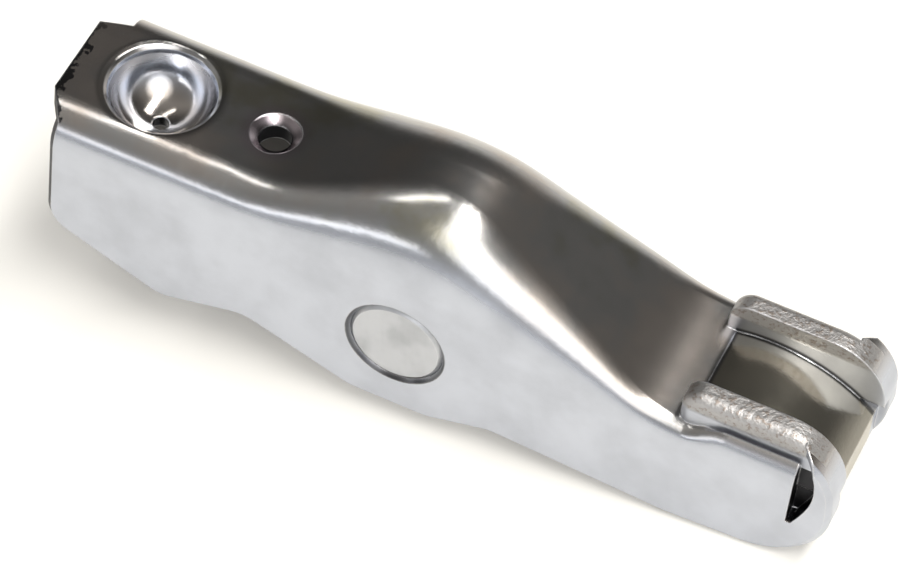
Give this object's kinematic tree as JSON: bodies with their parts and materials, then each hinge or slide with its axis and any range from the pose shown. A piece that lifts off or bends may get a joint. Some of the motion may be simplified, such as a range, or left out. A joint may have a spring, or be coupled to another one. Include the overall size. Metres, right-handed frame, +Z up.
{
  "type": "roller finger rocker arm",
  "caption": "Pressed channel rocker arm with a ball socket at one end, a cheeked valve pad at the other, and a cam roller on needles between its walls.",
  "frame": {"origin": "middle of the roller's axle, half-way between the side walls", "axes": "+X towards the valve end, +Y along the axle, +Z up with the web uppermost, as the part lies on its roller and toe"},
  "size_m": [0.0612, 0.0132, 0.0205],
  "materials": {
    "pressed_steel": "satin, with a tumbled polish on the web",
    "axle_steel": "ground",
    "bearing_steel": "ground and polished"
  },
  "bodies": {
    "arm": {"arm_body": "pressed_steel", "axle": "axle_steel"},
    "needle_set": {"needle_01": "bearing_steel", "needle_02": "bearing_steel", "needle_03": "bearing_steel", "needle_04": "bearing_steel", "needle_05": "bearing_steel", "needle_06": "bearing_steel", "needle_07": "bearing_steel", "needle_08": "bearing_steel", "needle_09": "bearing_steel", "needle_10": "bearing_steel", "needle_11": "bearing_steel", "needle_12": "bearing_steel", "needle_13": "bearing_steel", "needle_14": "bearing_steel", "needle_15": "bearing_steel", "needle_16": "bearing_steel", "needle_17": "bearing_steel"},
    "roller": {"roller": "bearing_steel"}
  },
  "joints": [
    {"name": "roller_spin", "type": "hinge", "parent": "arm", "child": "roller", "pos_m": [0, 0, 0], "axis": [0, 1, 0], "continuous": true},
    {"name": "needle_orbit", "type": "hinge", "parent": "arm", "child": "needle_set", "pos_m": [0, 0, 0], "axis": [0, 1, 0], "continuous": true}
  ],
  "couplings": [
    {"joint": "needle_orbit", "follows": "roller_spin", "ratio": 0.59276}
  ]
}
